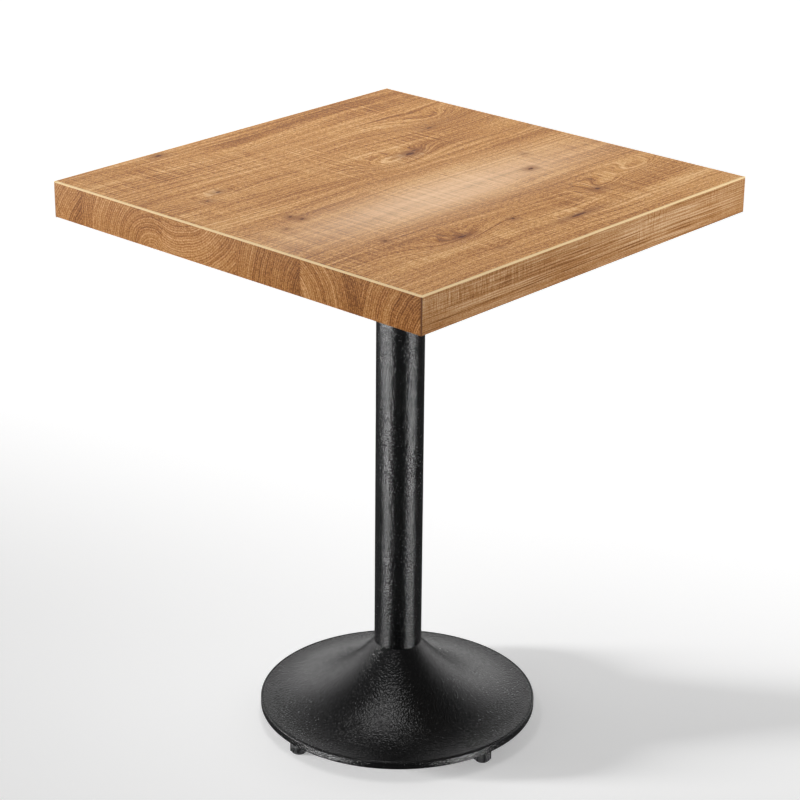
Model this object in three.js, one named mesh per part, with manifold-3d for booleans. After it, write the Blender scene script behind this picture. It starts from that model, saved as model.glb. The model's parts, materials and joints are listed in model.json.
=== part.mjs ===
// Bistro table: square edge-banded top on a round column with a trumpet base and four levelling glides.
// Millimetres, +Z up. The origin is on the floor under the column axis, and the wood grain runs along X.

import * as THREE from 'three';
import { mergeVertices } from 'three/addons/utils/BufferGeometryUtils.js';
import Module from 'manifold-3d';

const wasm = await Module();
wasm.setup();

// ---- Driving dimensions ----

const TABLE_HEIGHT = 755;
const CLEARANCE = 0.3; // gap left around every pin, screw and plug in its hole
const CHAMFER = 1; // broken edge on rod ends, plugs and soles

const TOP_SIDE = 610;
const TOP_THICKNESS = 47;
const SHEET = 1; // decor laminate above the core and backer below it
const BAND = 2; // edge band thickness
const BAND_ARRIS = 1.5; // rounding along the outer edges of a band

const COLUMN_R = 31.5;
const COLUMN_WALL = 2;
const COLUMN_FOOT_Z = 109.7;

const BASE_R = 185;
const RIM_BOTTOM_Z = 17; // height of the base plate above the floor
const RIM_TOP_Z = 27;
const RIM_RING = 2; // width of the raised ring around the cover's lip
const RIM_ROUND = 1.2;
const SEAM = 0.5; // open seam between the ring and the lip
const COVER_SHEET = 1.5; // spun sheet of the trumpet cover
const FLARE_POWER = 2.2; // how quickly the trumpet falls away from the neck

const PLATE_SIDE = 240; // mounting plate under the top
const PLATE_THICKNESS = 4;
const PLATE_CORNER_R = 20;
const COLLAR_DEPTH = 40;
const COLLAR_WALL = 6;

const SOCKET_FLANGE_R = 60;
const SOCKET_FLANGE = 6;
const SOCKET_WEB = 12;
const SOCKET_BORE_R = 23;
const SOCKET_TUBE_R = 27;
const SOCKET_SHOULDER = 6;
const SOCKET_FILLET = 3;
const SPIGOT_RISE = 46; // how far the socket reaches up into the column
const SOCKET_SCREW_CIRCLE_R = 44;
const SOCKET_SCREW_COUNT = 4;
const FIRST_SOCKET_SCREW_DEG = 45;

const ROD_R = 6; // M12 tie rod
const ROD_END = 2; // thread showing past the nut, and space left under the rod
const ROD_NUT_FLATS = 19;
const ROD_NUT_HEIGHT = 10;
const LOCK_NUT_HEIGHT = 6;
const WASHER_R = 18;
const WASHER = 2.5;
const NUT_RECESS_R = 24; // pocket in the underside of the top, over the rod's nut
const NUT_RECESS_DEPTH = 18;

const WOOD_SCREW_R = 2.5;
const WOOD_SCREW_HEAD_R = 5;
const WOOD_SCREW_HEAD = 2.8;
const WOOD_SCREW_HEAD_ROUND = 1.3;
const WOOD_SCREW_LENGTH = 30;
const WOOD_SCREW_TIP = 4;
const WOOD_SCREW_INSET = 18; // from the mounting plate's edge

const BOLT_R = 4; // M8 socket screws and glide studs
const BOLT_HEAD_R = 7.5;
const BOLT_HEAD = 3.5;
const BOLT_HEAD_ROOM = 1; // extra radius at the mouth of a countersink

const GLIDE_COUNT = 4;
const GLIDE_CIRCLE_R = 171;
const FIRST_GLIDE_DEG = -97;
const INSERT_R = 7;
const KNOB_R = 12;
const KNOB_FLUTES = 12;
const FLUTE_DEPTH = 1;
const SOLE_R = 9.5;
const SOLE = 2.5;
const SOLE_PIVOT_R = 4.5;
const SOLE_PIVOT = 3.5;
const STUD_FOOT_Z = 7;

// ---- Facets of round shapes, and steps along curves ----

const RIM_FACETS = 72;
const COLUMN_FACETS = 48;
const PLUG_FACETS = 32;
const RECESS_FACETS = 24;
const GLIDE_FACETS = 16;
const SCREW_FACETS = 12;
const ARRIS_STEPS = 3;
const PLATE_CORNER_STEPS = 5;
const NUT_HOLE_STEPS = 8;
const FLUTE_STEPS = 3;
const FLARE_OUTSIDE_STEPS = 12;
const FLARE_INSIDE_STEPS = 8;
const FLARE_CROWDING = 1.4; // over 1 puts more of the steps near the neck
const OVERCUT = 1; // how far a cutting shape runs past the face that it opens

// ---- Heights and radii worked out from them ----

const TOP_UNDERSIDE_Z = TABLE_HEIGHT - TOP_THICKNESS;
const PLATE_BOTTOM_Z = TOP_UNDERSIDE_Z - PLATE_THICKNESS;
const CORE_SIDE = TOP_SIDE - 2 * BAND;
const COLUMN_BORE_R = COLUMN_R - COLUMN_WALL;
const PLUG_R = COLUMN_BORE_R - CLEARANCE; // plugs that centre the column, above and below
const LIP_R = BASE_R - RIM_RING - SEAM;
const BASE_PLATE_TOP_Z = RIM_TOP_Z - COVER_SHEET;
const NECK_Z = COLUMN_FOOT_Z - COVER_SHEET; // underside of the cover's neck, top of the socket's shoulder
const SHOULDER_R = COLUMN_R - COVER_SHEET;
const ROD_BOTTOM_Z = BASE_PLATE_TOP_Z + ROD_END;
const ROD_TOP_Z = TOP_UNDERSIDE_Z + WASHER + ROD_NUT_HEIGHT + ROD_END;

// ---- Materials ----

function finish(color, roughness, metalness) {
  return new THREE.MeshStandardMaterial({ color, roughness, metalness });
}

const oakDecor = finish(0xb98a5e, 0.55, 0);
const particleBoard = finish(0xb89468, 0.9, 0);
const backerSheet = finish(0x4a3c30, 0.7, 0);
const blackCoat = finish(0x1b1b1d, 0.5, 0.3);
const zincSteel = finish(0xb4b6b8, 0.4, 0.9);
const blackNylon = finish(0x161616, 0.6, 0);
const greySole = finish(0x2c2c2e, 0.85, 0);

// ---- Shape helpers ----

/** Body of revolution about Z from a counter-clockwise outline of [radius, height] points. */
function revolve(outline, segments) {
  const startsOnAxis = outline[0][0] === 0;
  const closed = startsOnAxis ? outline : [...outline, outline[0]];
  const points = closed.map(([r, z]) => new THREE.Vector2(r, z));
  const geometry = new THREE.LatheGeometry(points, segments);
  geometry.rotateX(Math.PI / 2);
  return geometry;
}

/** Upright cylinder from z0 to z1. */
function cylinder(radius, z0, z1, segments) {
  return revolve([[0, z0], [radius, z0], [radius, z1], [0, z1]], segments);
}

/** Rectangular block, centred in X and Y, from z0 to z1. */
function block(sizeX, sizeY, z0, z1) {
  const geometry = new THREE.BoxGeometry(sizeX, sizeY, z1 - z0);
  geometry.translate(0, 0, (z0 + z1) / 2);
  return geometry;
}

/** Flat outline raised from z0 to z1. */
function raise(shape, z0, z1, curveSegments) {
  const geometry = new THREE.ExtrudeGeometry(shape, { depth: z1 - z0, bevelEnabled: false, curveSegments });
  geometry.translate(0, 0, z0);
  return geometry;
}

/** Moves a copy of a geometry sideways. */
function shifted(geometry, x, y) {
  return geometry.clone().translate(x, y, 0);
}

/** Welds a closed geometry into a manifold solid, ready for cutting. */
function toSolid(geometry) {
  const bare = geometry.clone();
  bare.deleteAttribute('uv');
  bare.deleteAttribute('normal');
  const welded = mergeVertices(bare, 1e-3);
  const index = welded.index.array;
  const triangles = [];
  for (let i = 0; i < index.length; i += 3) {
    const [a, b, c] = index.slice(i, i + 3);
    if (a !== b && b !== c && c !== a) triangles.push(a, b, c);
  }
  return new wasm.Manifold(new wasm.Mesh({
    numProp: 3,
    vertProperties: new Float32Array(welded.attributes.position.array),
    triVerts: new Uint32Array(triangles),
  }));
}

/** Cuts a list of tool geometries out of a body geometry. */
function cut(body, tools) {
  const solid = tools.reduce((rest, tool) => rest.subtract(toSolid(tool)), toSolid(body));
  const mesh = solid.getMesh();
  const geometry = new THREE.BufferGeometry();
  geometry.setAttribute('position', new THREE.BufferAttribute(mesh.vertProperties, 3));
  geometry.setIndex(new THREE.BufferAttribute(mesh.triVerts, 1));
  geometry.computeVertexNormals();
  return geometry;
}

/** Named mesh with its material. */
function part(name, geometry, material) {
  const mesh = new THREE.Mesh(geometry, material);
  mesh.name = name;
  return mesh;
}

/** Places spread evenly on a circle about Z. */
function onCircle(count, radius, firstDeg) {
  return Array.from({ length: count }, (_, i) => {
    const angle = THREE.MathUtils.degToRad(firstDeg + (i * 360) / count);
    return [radius * Math.cos(angle), radius * Math.sin(angle)];
  });
}

/** The eight wood screw places: corners and edge middles of the mounting plate. */
function woodScrewPlaces() {
  const reach = PLATE_SIDE / 2 - WOOD_SCREW_INSET;
  const steps = [-reach, 0, reach];
  const grid = steps.flatMap((x) => steps.map((y) => [x, y]));
  return grid.filter(([x, y]) => x !== 0 || y !== 0);
}

// ---- Tabletop ----

/** Cross-section of an edge band: x runs outward from the core, y is the height above the underside. */
function bandSection() {
  const shape = new THREE.Shape();
  shape.moveTo(0, 0);
  shape.lineTo(BAND - BAND_ARRIS, 0);
  shape.absarc(BAND - BAND_ARRIS, BAND_ARRIS, BAND_ARRIS, -Math.PI / 2, 0);
  shape.lineTo(BAND, TOP_THICKNESS - BAND_ARRIS);
  shape.absarc(BAND - BAND_ARRIS, TOP_THICKNESS - BAND_ARRIS, BAND_ARRIS, 0, Math.PI / 2);
  shape.lineTo(0, TOP_THICKNESS);
  return shape;
}

/** Edge band of a given length on the side of the top that faces the given direction. */
function edgeBand(name, length, facingDeg) {
  const geometry = raise(bandSection(), -length / 2, length / 2, ARRIS_STEPS);
  // Stand the section up: its height becomes Z and the extrusion runs along Y.
  geometry.rotateX(Math.PI / 2);
  geometry.translate(CORE_SIDE / 2, 0, TOP_UNDERSIDE_Z);
  geometry.rotateZ(THREE.MathUtils.degToRad(facingDeg));
  return part(name, geometry, oakDecor);
}

function buildTabletop() {
  const pilots = woodScrewPlaces().map(([x, y]) => {
    const top = PLATE_BOTTOM_Z + WOOD_SCREW_LENGTH + CLEARANCE;
    return shifted(cylinder(WOOD_SCREW_R + CLEARANCE, TOP_UNDERSIDE_Z - OVERCUT, top, SCREW_FACETS), x, y);
  });
  const recessTop = TOP_UNDERSIDE_Z + NUT_RECESS_DEPTH;
  const recess = cylinder(NUT_RECESS_R, TOP_UNDERSIDE_Z - OVERCUT, recessTop, RECESS_FACETS);
  const coreBottom = TOP_UNDERSIDE_Z + SHEET;
  const coreTop = TABLE_HEIGHT - SHEET;
  const core = cut(block(CORE_SIDE, CORE_SIDE, coreBottom, coreTop), [recess, ...pilots]);
  const backer = cut(block(CORE_SIDE, CORE_SIDE, TOP_UNDERSIDE_Z, coreBottom), [recess, ...pilots]);
  const laminate = block(CORE_SIDE, CORE_SIDE, coreTop, TABLE_HEIGHT);

  const group = new THREE.Group();
  group.add(
    part('tabletop_core', core, particleBoard),
    part('tabletop_laminate', laminate, oakDecor),
    part('tabletop_backer', backer, backerSheet),
    edgeBand('edge_band_left_end', CORE_SIDE, 180),
    edgeBand('edge_band_right_end', CORE_SIDE, 0),
    edgeBand('edge_band_front', TOP_SIDE, -90),
    edgeBand('edge_band_back', TOP_SIDE, 90),
  );
  return group;
}

// ---- Mounting plate and its screws ----

function roundedSquare(side, cornerR) {
  const half = side / 2 - cornerR;
  const shape = new THREE.Shape();
  [[half, -half], [half, half], [-half, half], [-half, -half]].forEach(([x, y], i) => {
    const start = ((i - 1) * Math.PI) / 2;
    shape.absarc(x, y, cornerR, start, start + Math.PI / 2);
  });
  return shape;
}

function roundHole(x, y, radius) {
  const hole = new THREE.Path();
  hole.absarc(x, y, radius, 0, 2 * Math.PI, true);
  return hole;
}

function woodScrew(name, x, y) {
  const head = PLATE_BOTTOM_Z - WOOD_SCREW_HEAD;
  const tip = PLATE_BOTTOM_Z + WOOD_SCREW_LENGTH;
  const outline = [
    [0, head],
    [WOOD_SCREW_HEAD_R - WOOD_SCREW_HEAD_ROUND, head],
    [WOOD_SCREW_HEAD_R, head + WOOD_SCREW_HEAD_ROUND],
    [WOOD_SCREW_HEAD_R, PLATE_BOTTOM_Z],
    [WOOD_SCREW_R, PLATE_BOTTOM_Z],
    [WOOD_SCREW_R, tip - WOOD_SCREW_TIP],
    [0, tip],
  ];
  return part(name, shifted(revolve(outline, SCREW_FACETS), x, y), zincSteel);
}

function buildMounting() {
  const plateShape = roundedSquare(PLATE_SIDE, PLATE_CORNER_R);
  plateShape.holes.push(roundHole(0, 0, ROD_R + CLEARANCE));
  woodScrewPlaces().forEach(([x, y]) => plateShape.holes.push(roundHole(x, y, WOOD_SCREW_R + CLEARANCE)));
  const plate = raise(plateShape, PLATE_BOTTOM_Z, TOP_UNDERSIDE_Z, PLATE_CORNER_STEPS);

  const collarFoot = PLATE_BOTTOM_Z - COLLAR_DEPTH;
  const collar = revolve([
    [PLUG_R - COLLAR_WALL, collarFoot],
    [PLUG_R - CHAMFER, collarFoot],
    [PLUG_R, collarFoot + CHAMFER],
    [PLUG_R, PLATE_BOTTOM_Z],
    [PLUG_R - COLLAR_WALL, PLATE_BOTTOM_Z],
  ], PLUG_FACETS);

  const group = new THREE.Group();
  group.add(part('mounting_plate', plate, blackCoat), part('plate_collar', collar, blackCoat));
  woodScrewPlaces().forEach(([x, y], i) => group.add(woodScrew(`wood_screw_${i + 1}`, x, y)));
  return group;
}

// ---- Tie rod ----

function hexNut(name, z0, z1) {
  const cornerR = ROD_NUT_FLATS / Math.sqrt(3);
  const corners = onCircle(6, cornerR, 0).map(([x, y]) => new THREE.Vector2(x, y));
  const shape = new THREE.Shape(corners);
  shape.holes.push(roundHole(0, 0, ROD_R + CLEARANCE));
  return part(name, raise(shape, z0, z1, NUT_HOLE_STEPS), zincSteel);
}

function buildTieRod() {
  const rod = revolve([
    [0, ROD_BOTTOM_Z],
    [ROD_R - CHAMFER, ROD_BOTTOM_Z],
    [ROD_R, ROD_BOTTOM_Z + CHAMFER],
    [ROD_R, ROD_TOP_Z - CHAMFER],
    [ROD_R - CHAMFER, ROD_TOP_Z],
    [0, ROD_TOP_Z],
  ], GLIDE_FACETS);
  const washerTop = TOP_UNDERSIDE_Z + WASHER;
  const washer = revolve([
    [ROD_R + CLEARANCE, TOP_UNDERSIDE_Z],
    [WASHER_R, TOP_UNDERSIDE_Z],
    [WASHER_R, washerTop],
    [ROD_R + CLEARANCE, washerTop],
  ], RECESS_FACETS);
  const webTop = BASE_PLATE_TOP_Z + SOCKET_WEB;

  const group = new THREE.Group();
  group.add(
    part('tie_rod', rod, zincSteel),
    part('tie_rod_washer', washer, zincSteel),
    hexNut('tie_rod_nut', washerTop, washerTop + ROD_NUT_HEIGHT),
    hexNut('tie_rod_lock_nut', webTop, webTop + LOCK_NUT_HEIGHT),
  );
  return group;
}

// ---- Column and the socket that carries it ----

function socketScrewPlaces() {
  return onCircle(SOCKET_SCREW_COUNT, SOCKET_SCREW_CIRCLE_R, FIRST_SOCKET_SCREW_DEG);
}

function buildColumn() {
  const tube = revolve([
    [COLUMN_BORE_R, COLUMN_FOOT_Z],
    [COLUMN_R, COLUMN_FOOT_Z],
    [COLUMN_R, PLATE_BOTTOM_Z],
    [COLUMN_BORE_R, PLATE_BOTTOM_Z],
  ], COLUMN_FACETS);

  const flangeTop = BASE_PLATE_TOP_Z + SOCKET_FLANGE;
  const webTop = BASE_PLATE_TOP_Z + SOCKET_WEB;
  const spigotTop = COLUMN_FOOT_Z + SPIGOT_RISE;
  const blank = revolve([
    [ROD_R + CLEARANCE, BASE_PLATE_TOP_Z],
    [SOCKET_FLANGE_R, BASE_PLATE_TOP_Z],
    [SOCKET_FLANGE_R, flangeTop],
    [SOCKET_TUBE_R + SOCKET_FILLET, flangeTop],
    [SOCKET_TUBE_R, flangeTop + SOCKET_FILLET],
    [SOCKET_TUBE_R, NECK_Z - SOCKET_SHOULDER],
    [SHOULDER_R, NECK_Z - SOCKET_SHOULDER],
    [SHOULDER_R, NECK_Z],
    [PLUG_R, NECK_Z],
    [PLUG_R, spigotTop - CHAMFER],
    [PLUG_R - CHAMFER, spigotTop],
    [SOCKET_BORE_R, spigotTop],
    [SOCKET_BORE_R, webTop],
    [ROD_R + CLEARANCE, webTop],
  ], PLUG_FACETS);
  const holeFoot = BASE_PLATE_TOP_Z - OVERCUT;
  const tappedHole = cylinder(BOLT_R + CLEARANCE, holeFoot, flangeTop + OVERCUT, SCREW_FACETS);
  const socket = cut(blank, socketScrewPlaces().map(([x, y]) => shifted(tappedHole, x, y)));

  const screw = revolve([
    [0, RIM_BOTTOM_Z],
    [BOLT_HEAD_R, RIM_BOTTOM_Z],
    [BOLT_R, RIM_BOTTOM_Z + BOLT_HEAD],
    [BOLT_R, flangeTop - CHAMFER],
    [0, flangeTop - CHAMFER],
  ], SCREW_FACETS);

  const group = new THREE.Group();
  group.add(part('column_tube', tube, blackCoat), part('column_socket', socket, zincSteel));
  socketScrewPlaces().forEach(([x, y], i) => {
    group.add(part(`socket_screw_${i + 1}`, shifted(screw, x, y), zincSteel));
  });
  return group;
}

// ---- Trumpet cover and base plate ----

/** Height of the cover's outer surface at a radius. */
function flareHeight(radius) {
  const fall = (LIP_R - radius) / (LIP_R - COLUMN_R);
  return RIM_TOP_Z + (COLUMN_FOOT_Z - RIM_TOP_Z) * fall ** FLARE_POWER;
}

/** Rise of the cover's outer surface per millimetre inward, which is the tangent of its slope. */
function flareSlope(radius) {
  const fall = (LIP_R - radius) / (LIP_R - COLUMN_R);
  const drop = (COLUMN_FOOT_Z - RIM_TOP_Z) / (LIP_R - COLUMN_R);
  return FLARE_POWER * drop * fall ** (FLARE_POWER - 1);
}

/** Point one sheet thickness inside the outer surface. */
function insidePoint(radius) {
  const slope = Math.atan(flareSlope(radius));
  return [radius - COVER_SHEET * Math.sin(slope), flareHeight(radius) - COVER_SHEET * Math.cos(slope)];
}

/** Radii from the neck to the lip, closer together at the neck where the trumpet bends most. */
function flareRadii(steps) {
  const shares = Array.from({ length: steps + 1 }, (_, i) => (i / steps) ** FLARE_CROWDING);
  return shares.map((share) => COLUMN_R + (LIP_R - COLUMN_R) * share);
}

function buildTrumpetCover() {
  const outside = flareRadii(FLARE_OUTSIDE_STEPS).map((r) => [r, flareHeight(r)]);
  const inside = flareRadii(FLARE_INSIDE_STEPS).map(insidePoint);
  const neckBoreR = PLUG_R + CLEARANCE;
  const outline = [
    [neckBoreR, NECK_Z],
    [SHOULDER_R + CLEARANCE, NECK_Z],
    ...inside.filter(([, z]) => z < NECK_Z),
    ...outside.reverse(),
    [neckBoreR, COLUMN_FOOT_Z],
  ];
  return part('trumpet_cover', revolve(outline, COLUMN_FACETS), blackCoat);
}

/** The glides' places under the base plate. */
function glidePlaces() {
  return onCircle(GLIDE_COUNT, GLIDE_CIRCLE_R, FIRST_GLIDE_DEG);
}

function buildBasePlate() {
  const ringR = BASE_R - RIM_RING;
  const roundR = BASE_R - RIM_ROUND;
  const disc = revolve([
    [0, RIM_BOTTOM_Z],
    [roundR, RIM_BOTTOM_Z],
    [BASE_R, RIM_BOTTOM_Z + RIM_ROUND],
    [BASE_R, RIM_TOP_Z - RIM_ROUND],
    [roundR + RIM_ROUND * Math.SQRT1_2, RIM_TOP_Z - RIM_ROUND * (1 - Math.SQRT1_2)],
    [roundR, RIM_TOP_Z],
    [ringR, RIM_TOP_Z],
    [ringR, BASE_PLATE_TOP_Z],
    [0, BASE_PLATE_TOP_Z],
  ], RIM_FACETS);
  const holeFoot = RIM_BOTTOM_Z - OVERCUT;
  const holeTop = BASE_PLATE_TOP_Z + OVERCUT;
  const countersink = revolve([
    [0, holeFoot],
    [BOLT_HEAD_R + CLEARANCE + BOLT_HEAD_ROOM, holeFoot],
    [BOLT_R + CLEARANCE, RIM_BOTTOM_Z + BOLT_HEAD],
    [BOLT_R + CLEARANCE, holeTop],
    [0, holeTop],
  ], SCREW_FACETS);
  const insertHole = cylinder(INSERT_R + CLEARANCE, holeFoot, holeTop, GLIDE_FACETS);
  const plate = cut(disc, [
    ...socketScrewPlaces().map(([x, y]) => shifted(countersink, x, y)),
    ...glidePlaces().map(([x, y]) => shifted(insertHole, x, y)),
  ]);
  return part('base_plate', plate, blackCoat);
}

// ---- Levelling glides ----

/** Fluted outline of a glide's knob. */
function knobShape() {
  const steps = KNOB_FLUTES * FLUTE_STEPS;
  const points = Array.from({ length: steps }, (_, i) => {
    const angle = (i * 2 * Math.PI) / steps;
    const radius = KNOB_R - (FLUTE_DEPTH * (1 - Math.cos(KNOB_FLUTES * angle))) / 2;
    return new THREE.Vector2(radius * Math.cos(angle), radius * Math.sin(angle));
  });
  return new THREE.Shape(points);
}

function buildGlide(number, [x, y]) {
  const insert = revolve([
    [BOLT_R + CLEARANCE, RIM_BOTTOM_Z],
    [INSERT_R, RIM_BOTTOM_Z],
    [INSERT_R, BASE_PLATE_TOP_Z - CLEARANCE],
    [BOLT_R + CLEARANCE, BASE_PLATE_TOP_Z - CLEARANCE],
  ], GLIDE_FACETS);
  const stud = cylinder(BOLT_R, STUD_FOOT_Z, BASE_PLATE_TOP_Z - CLEARANCE, GLIDE_FACETS);
  const pivotTop = SOLE + SOLE_PIVOT;
  const knobFoot = SOLE + CLEARANCE;
  const knobTop = RIM_BOTTOM_Z - CLEARANCE;
  const knob = cut(raise(knobShape(), knobFoot, knobTop), [
    cylinder(SOLE_PIVOT_R + CLEARANCE, knobFoot - OVERCUT, pivotTop + CLEARANCE, GLIDE_FACETS),
    cylinder(BOLT_R + CLEARANCE, STUD_FOOT_Z - CLEARANCE, knobTop + OVERCUT, GLIDE_FACETS),
  ]);
  const sole = revolve([
    [0, 0],
    [SOLE_R - CHAMFER, 0],
    [SOLE_R, CHAMFER],
    [SOLE_R, SOLE],
    [SOLE_PIVOT_R, SOLE],
    [SOLE_PIVOT_R, pivotTop],
    [0, pivotTop],
  ], GLIDE_FACETS);

  const group = new THREE.Group();
  group.position.set(x, y, 0);
  group.add(
    part(`glide_${number}_insert`, insert, zincSteel),
    part(`glide_${number}_stud`, stud, zincSteel),
    part(`glide_${number}_knob`, knob, blackNylon),
    part(`glide_${number}_sole`, sole, greySole),
  );
  return group;
}

// ---- The whole table ----

const table = new THREE.Group();
table.add(buildTabletop(), buildMounting(), buildTieRod(), buildColumn());
table.add(buildTrumpetCover(), buildBasePlate());
glidePlaces().forEach((place, i) => table.add(buildGlide(i + 1, place)));

export default table;
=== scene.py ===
"""Bistro table: oak-look square top on a black column and trumpet base, with four levelling glides.

Metres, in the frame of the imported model: +Z up, wood grain along X, floor at Z = 0.
"""

import json
import math

import bmesh
import bpy
from mathutils import Matrix, Vector

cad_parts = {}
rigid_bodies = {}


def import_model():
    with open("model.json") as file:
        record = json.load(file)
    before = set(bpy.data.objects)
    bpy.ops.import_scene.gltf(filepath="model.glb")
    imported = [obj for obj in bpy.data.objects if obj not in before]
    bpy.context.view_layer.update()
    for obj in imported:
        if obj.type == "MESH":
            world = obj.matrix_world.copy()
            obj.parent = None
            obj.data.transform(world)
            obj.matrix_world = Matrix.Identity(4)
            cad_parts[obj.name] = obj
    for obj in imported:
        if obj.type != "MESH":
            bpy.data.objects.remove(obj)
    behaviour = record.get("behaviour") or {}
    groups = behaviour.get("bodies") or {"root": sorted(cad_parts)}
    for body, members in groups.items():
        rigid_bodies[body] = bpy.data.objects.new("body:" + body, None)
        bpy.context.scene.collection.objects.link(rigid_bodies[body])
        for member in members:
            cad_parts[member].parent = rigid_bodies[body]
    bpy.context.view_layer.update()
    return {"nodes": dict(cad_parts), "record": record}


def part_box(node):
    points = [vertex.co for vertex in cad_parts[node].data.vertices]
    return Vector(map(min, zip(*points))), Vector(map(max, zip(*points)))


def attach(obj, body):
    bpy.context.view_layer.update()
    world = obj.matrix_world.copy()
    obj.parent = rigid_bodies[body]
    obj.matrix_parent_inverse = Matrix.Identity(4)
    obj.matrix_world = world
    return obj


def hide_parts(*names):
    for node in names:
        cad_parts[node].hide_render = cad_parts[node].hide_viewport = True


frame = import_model()
MM = 0.001

# ---- Sizes taken from the frame ----

top_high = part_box("tabletop_laminate")[1]
TOP_Z = top_high.z
CORE_HALF = top_high.x
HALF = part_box("edge_band_right_end")[1].x
BAND = HALF - CORE_HALF
UNDERSIDE_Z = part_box("tabletop_backer")[0].z
column_low, column_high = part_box("column_tube")
COLUMN_R = column_high.x
plate_low, plate_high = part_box("base_plate")
BASE_R = plate_high.x
cover_low, cover_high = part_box("trumpet_cover")
LIP_R = cover_high.x
mount_low, mount_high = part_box("mounting_plate")

# ---- Sizes shared with the CAD part ----

ARRIS = 1.5 * MM  # rounding of the edge bands
COLUMN_WALL = 2 * MM
COVER_SHEET = 1.5 * MM
FLARE_POWER = 2.2
RIM_RING = 2 * MM
RIM_ROUND = 1.2 * MM
GAP = 0.3 * MM  # around screws, studs and inserts
PLATE_CORNER_R = 20 * MM
WOOD_SCREW_R = 2.5 * MM
SOCKET_BOLT_R = 4 * MM
SOCKET_HEAD_R = 7.5 * MM
SOCKET_HEAD = 3.5 * MM
INSERT_R = 7 * MM
ROD_HOLE_R = 6.3 * MM
STUD_R = 4 * MM
THREAD_PITCH = 1.25 * MM
PIVOT_R = 4.5 * MM
WOOD_SCREWS = range(1, 9)
SOCKET_SCREWS = range(1, 5)
GLIDES = range(1, 5)
KNOB_FLUTES = 12
FLUTE_DEPTH = 1 * MM

# ---- Camera: where it stands, as an angle and a distance from its target ----

VIEW_AZIMUTH = math.radians(-48.04)
VIEW_ELEVATION = math.radians(22.28)
VIEW_ROLL = math.radians(0.53)
VIEW_DISTANCE = 3.171
VIEW_TARGET = Vector((0, 0, 0.4568))
LENS = 110.44  # focal length and sensor width in millimetres
SENSOR_WIDTH = 36
SIGHT_LIMIT = 100
TOWARD_CAMERA = Vector((math.sin(VIEW_AZIMUTH), -math.cos(VIEW_AZIMUTH), 0))
IMAGE_RIGHT = Vector((math.cos(VIEW_AZIMUTH), math.sin(VIEW_AZIMUTH), 0))


def link(obj):
    """Puts a new object in the scene."""
    bpy.context.scene.collection.objects.link(obj)
    return obj


def add_camera():
    """Camera of the main view."""
    data = bpy.data.cameras.new("camera")
    data.lens = LENS
    data.sensor_width = SENSOR_WIDTH
    data.clip_end = SIGHT_LIMIT
    camera = link(bpy.data.objects.new("camera", data))
    back = TOWARD_CAMERA * math.cos(VIEW_ELEVATION)
    back.z = math.sin(VIEW_ELEVATION)
    camera.location = VIEW_TARGET + back * VIEW_DISTANCE
    aim = back.to_track_quat("Z", "Y")
    roll = Matrix.Rotation(VIEW_ROLL, 3, "Z").to_quaternion()
    camera.rotation_euler = (aim @ roll).to_euler()
    bpy.context.scene.camera = camera


add_camera()

# ---- Node material helper ----


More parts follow.
